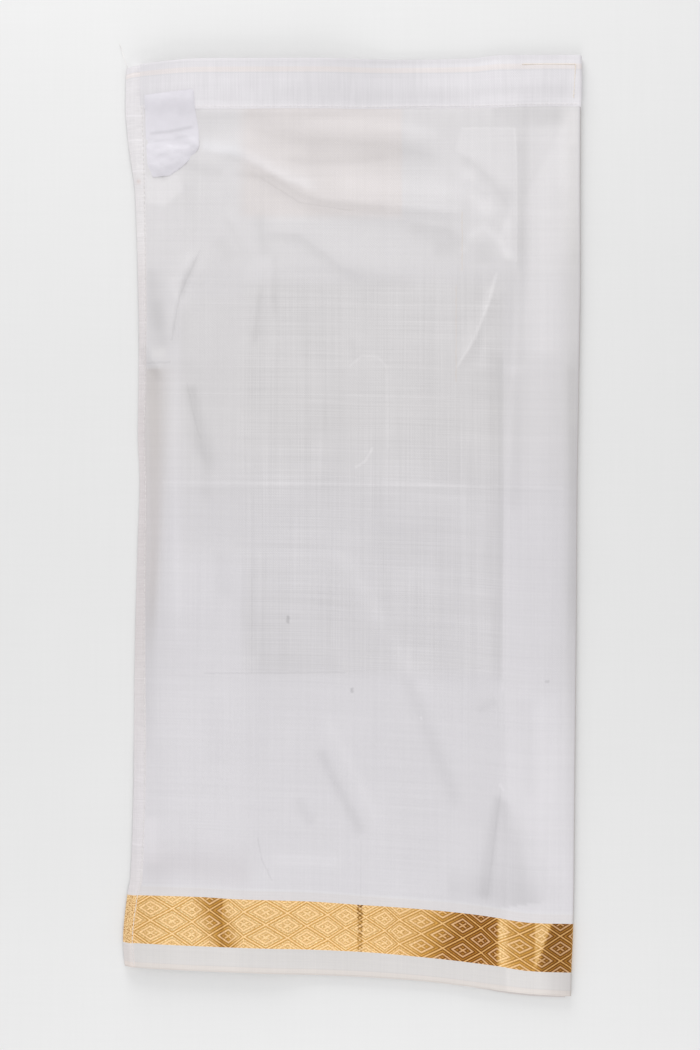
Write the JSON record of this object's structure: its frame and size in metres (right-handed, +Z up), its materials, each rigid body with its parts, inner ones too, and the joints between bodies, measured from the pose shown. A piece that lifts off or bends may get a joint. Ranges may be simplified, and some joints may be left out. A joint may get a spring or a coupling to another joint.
{
  "type": "folded dhoti cloth",
  "caption": "White sheer dhoti cloth folded into a flat packet, with a stitched waistband casing, turned side hem, blank care label and woven gold zari border.",
  "frame": {"origin": "on the table, under the middle of the folded packet", "axes": "+X across the packet to its folded edge, +Y up the cloth to the waistband, +Z up off the table"},
  "size_m": [0.2852, 0.5839, 0.0109],
  "materials": {
    "hidden_cotton": "plain woven cotton, soft matte",
    "white_cotton": "sheer plain weave with slubs, faint sheen",
    "gold_zari": "woven metal thread, diamond lattice, bright where it faces the light",
    "strip_cotton": "plain weave with a dense cream selvedge",
    "casing_cotton": "double cotton, overlocked in cream thread",
    "hem_cotton": "turned cotton with a line of stitches",
    "label_satin": "white satin ribbon, blank"
  },
  "bodies": {
    "root": {"under_layers": "hidden_cotton", "front_panel": "white_cotton", "zari_border": "gold_zari", "lower_strip": "strip_cotton", "waistband_casing": "casing_cotton", "side_hem": "hem_cotton", "care_label": "label_satin"}
  },
  "joints": []
}
